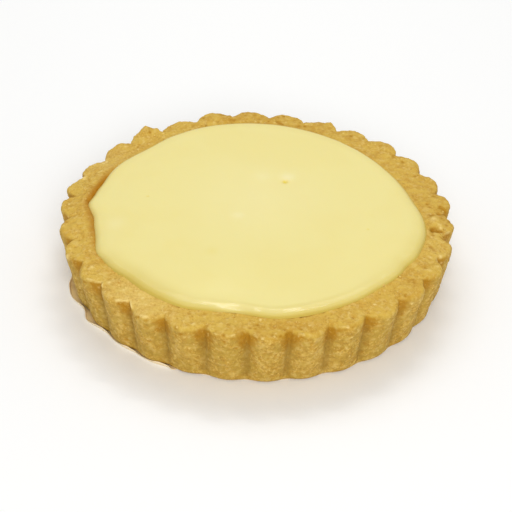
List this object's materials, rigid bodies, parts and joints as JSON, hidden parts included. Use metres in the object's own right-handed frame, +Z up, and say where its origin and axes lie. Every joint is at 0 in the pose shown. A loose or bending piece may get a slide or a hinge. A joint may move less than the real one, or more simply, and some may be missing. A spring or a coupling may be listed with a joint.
{
  "type": "lemon flan",
  "caption": "Round fluted shortcrust flan filled level with smooth pale lemon cream, on a trimmed round of baking paper.",
  "frame": {"origin": "middle of the underside of the baking paper, on the surface that the flan stands on", "axes": "+Z up, -Y towards the front as pictured, +X to the right"},
  "size_m": [0.1977, 0.1999, 0.036],
  "materials": {
    "baked_pastry": "matt, crumbly golden shortcrust, browner in the flutes",
    "lemon_cream": "smooth, softly glossy set cream",
    "baking_paper": "thin translucent greaseproof paper, slightly greasy"
  },
  "bodies": {
    "root": {"crust": "baked_pastry", "lemon_filling": "lemon_cream", "baking_paper": "baking_paper"}
  },
  "joints": []
}
